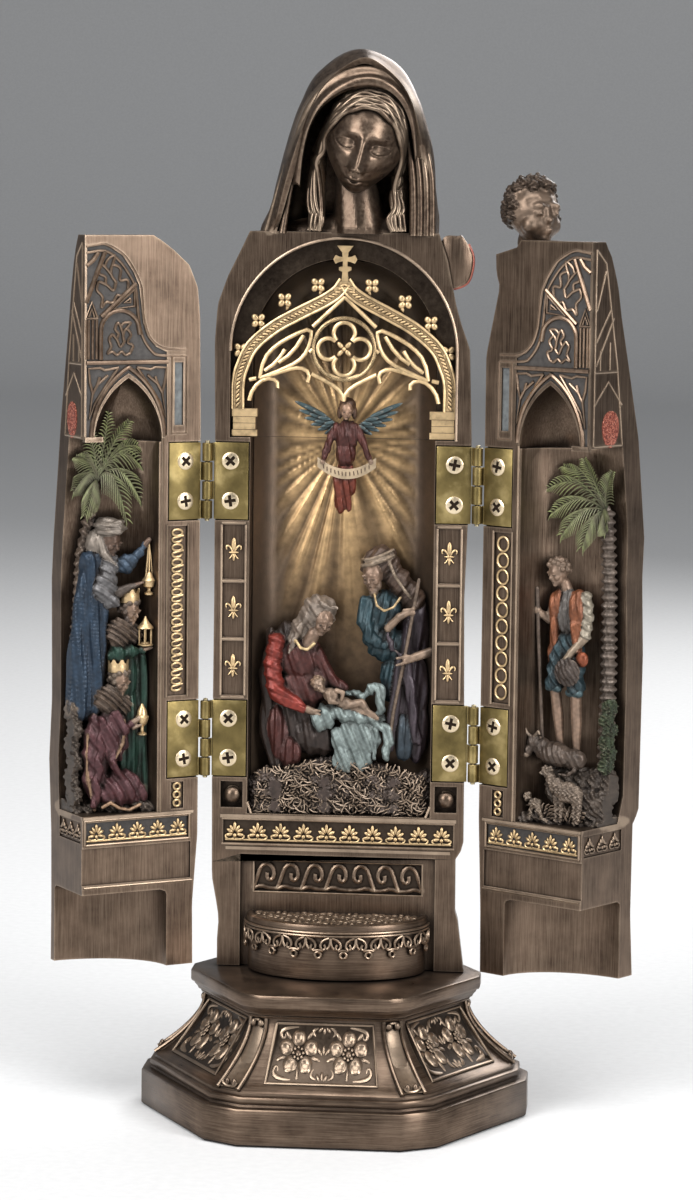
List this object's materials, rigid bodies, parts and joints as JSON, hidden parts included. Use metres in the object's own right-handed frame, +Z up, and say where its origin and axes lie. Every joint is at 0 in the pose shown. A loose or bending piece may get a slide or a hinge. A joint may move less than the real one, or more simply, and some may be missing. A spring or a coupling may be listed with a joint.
{
  "type": "triptych altarpiece",
  "caption": "Standing shrine statue whose front opens as two hinged wings on a nativity niche under pierced tracery.",
  "frame": {"origin": "centre of the foot's underside", "axes": "+Z up, the statue's front faces -Y, the left wing in the picture is at -X"},
  "size_m": [0.1548, 0.093, 0.2764],
  "materials": {
    "base_bronze": "cold-cast bronze, dark wash in the hollows and worn pale edges",
    "statue_bronze": "cold-cast bronze, brushed, with painted and gilded carving",
    "gilding": "pale gold paint with dark lines",
    "wing_left_bronze": "cold-cast bronze, brushed, with painted and gilded carving",
    "wing_right_bronze": "cold-cast bronze, brushed, with painted and gilded carving",
    "hinge_brass": "aged brass sheet",
    "hinge_pin": "bright drawn wire",
    "screw_brass": "bright with a dark cross slot"
  },
  "bodies": {
    "shrine": {"base": "base_bronze", "statue": "statue_bronze", "niche_tracery": "gilding", "hinge_left_lower_centre": "hinge_brass", "hinge_left_lower_pin": "hinge_pin", "screw_left_lower_centre_1": "screw_brass", "screw_left_lower_centre_2": "screw_brass", "hinge_left_upper_centre": "hinge_brass", "hinge_left_upper_pin": "hinge_pin", "screw_left_upper_centre_1": "screw_brass", "screw_left_upper_centre_2": "screw_brass", "hinge_right_lower_centre": "hinge_brass", "hinge_right_lower_pin": "hinge_pin", "screw_right_lower_centre_1": "screw_brass", "screw_right_lower_centre_2": "screw_brass", "hinge_right_upper_centre": "hinge_brass", "hinge_right_upper_pin": "hinge_pin", "screw_right_upper_centre_1": "screw_brass", "screw_right_upper_centre_2": "screw_brass"},
    "left_wing": {"wing_left": "wing_left_bronze", "hinge_left_lower_wing": "hinge_brass", "screw_left_lower_wing_1": "screw_brass", "screw_left_lower_wing_2": "screw_brass", "hinge_left_upper_wing": "hinge_brass", "screw_left_upper_wing_1": "screw_brass", "screw_left_upper_wing_2": "screw_brass"},
    "right_wing": {"wing_right": "wing_right_bronze", "hinge_right_lower_wing": "hinge_brass", "screw_right_lower_wing_1": "screw_brass", "screw_right_lower_wing_2": "screw_brass", "hinge_right_upper_wing": "hinge_brass", "screw_right_upper_wing_1": "screw_brass", "screw_right_upper_wing_2": "screw_brass"}
  },
  "joints": [
    {"name": "left_wing_hinge", "type": "hinge", "parent": "shrine", "child": "left_wing", "pos_m": [-0.0351, -0.0005, 0.1307], "axis": [0, 0, 1], "range_deg": [-33, 147]},
    {"name": "right_wing_hinge", "type": "hinge", "parent": "shrine", "child": "right_wing", "pos_m": [0.0351, -0.0005, 0.1307], "axis": [0, 0, -1], "range_deg": [-34.3, 145.7]}
  ]
}
